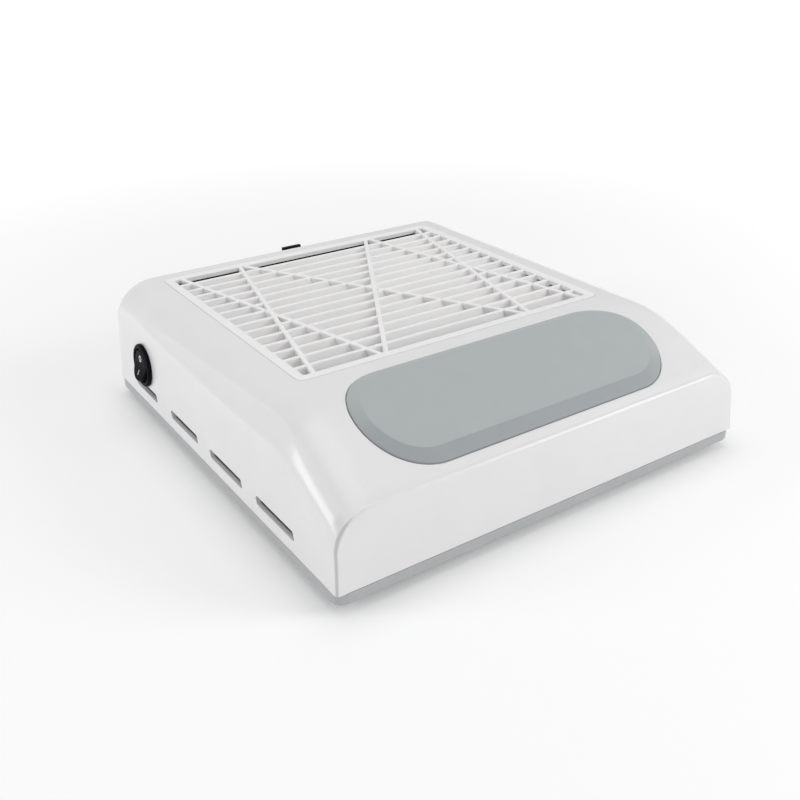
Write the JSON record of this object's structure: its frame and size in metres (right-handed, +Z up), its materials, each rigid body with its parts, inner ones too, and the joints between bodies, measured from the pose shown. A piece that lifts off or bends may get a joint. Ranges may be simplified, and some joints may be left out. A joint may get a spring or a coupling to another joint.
{
  "type": "nail dust collector",
  "caption": "Low square desk-top suction box with a louvred top grille, a sloping front with a padded hand rest, side vents and a round rocker switch.",
  "frame": {"origin": "on the desk plane, under the middle of the whole object's box, switch and pull tab included; the casing's own plan centre is 2.1 mm to -X and 2 mm to +Y of it", "axes": "+X to the right as the user sits at the hand rest, -Y the front with the hand rest, +Y the rear with the filter slot, +Z up"},
  "size_m": [0.2343, 0.244, 0.0669],
  "materials": {
    "white_gloss": "glossy injection-moulded white ABS",
    "white_satin": "satin white ABS",
    "grey_base": "fine-textured light grey ABS",
    "grey_pad": "soft-touch grey silicone rubber",
    "black_plastic": "black nylon",
    "switch_black": "satin black nylon",
    "black_rubber": "matt black rubber",
    "filter_paper": "pleated non-woven filter paper",
    "foam": "closed-cell foam strip",
    "steel": "zinc-plated steel",
    "brass": "brass",
    "copper": "enamelled copper winding",
    "board": "green glass-fibre board"
  },
  "bodies": {
    "casing": {"air_guide_front": "black_plastic", "air_guide_rear": "black_plastic", "base_shell": "grey_base", "board_capacitor": "black_plastic", "board_choke": "copper", "board_spacer": "white_satin", "control_board": "board", "deck_screw_front_left": "steel", "deck_screw_front_right": "steel", "deck_screw_rear_left": "steel", "deck_screw_rear_right": "steel", "fan_deck": "black_plastic", "filter_rail_left": "white_satin", "filter_rail_right": "white_satin", "foot_front_left": "black_rubber", "foot_front_right": "black_rubber", "foot_rear_left": "black_rubber", "foot_rear_right": "black_rubber", "grille_panel": "white_satin", "hand_rest_pad": "grey_pad", "housing_screw_front_left": "steel", "housing_screw_front_right": "steel", "housing_screw_rear_left": "steel", "housing_screw_rear_right": "steel", "inlet_pin_left": "brass", "inlet_pin_right": "brass", "lead_board_to_motor": "black_rubber", "lead_inlet_to_switch": "black_rubber", "lead_switch_to_board": "black_rubber", "motor_bearing_lower": "brass", "motor_bearing_upper": "brass", "motor_can": "steel", "motor_end_cap": "steel", "motor_mount_plate": "steel", "motor_stator": "copper", "power_inlet": "black_plastic", "rocker_pin": "steel", "switch_body": "switch_black", "switch_terminal_lower": "brass", "switch_terminal_upper": "brass", "top_housing": "white_gloss"},
    "rotor": {"impeller": "black_plastic", "impeller_nut": "brass", "motor_shaft": "steel", "motor_armature": "steel"},
    "filter_cassette": {"filter_frame": "black_plastic", "filter_media": "filter_paper", "filter_gasket": "foam", "filter_pull_tab": "black_plastic"},
    "rocker_switch": {"rocker": "switch_black"}
  },
  "joints": [
    {"name": "rotor_spin", "type": "hinge", "parent": "casing", "child": "rotor", "pos_m": [0.0021, 0.028, 0], "axis": [0, 0, 1], "continuous": true},
    {"name": "filter_slide", "type": "slide", "parent": "casing", "child": "filter_cassette", "axis": [0, 1, 0], "range_m": [0, 0.165]},
    {"name": "rocker_tilt", "type": "hinge", "parent": "casing", "child": "rocker_switch", "pos_m": [-0.11248, 0.0761, 0.03195], "axis": [0, -1, 0], "range_deg": [0, 22]}
  ]
}
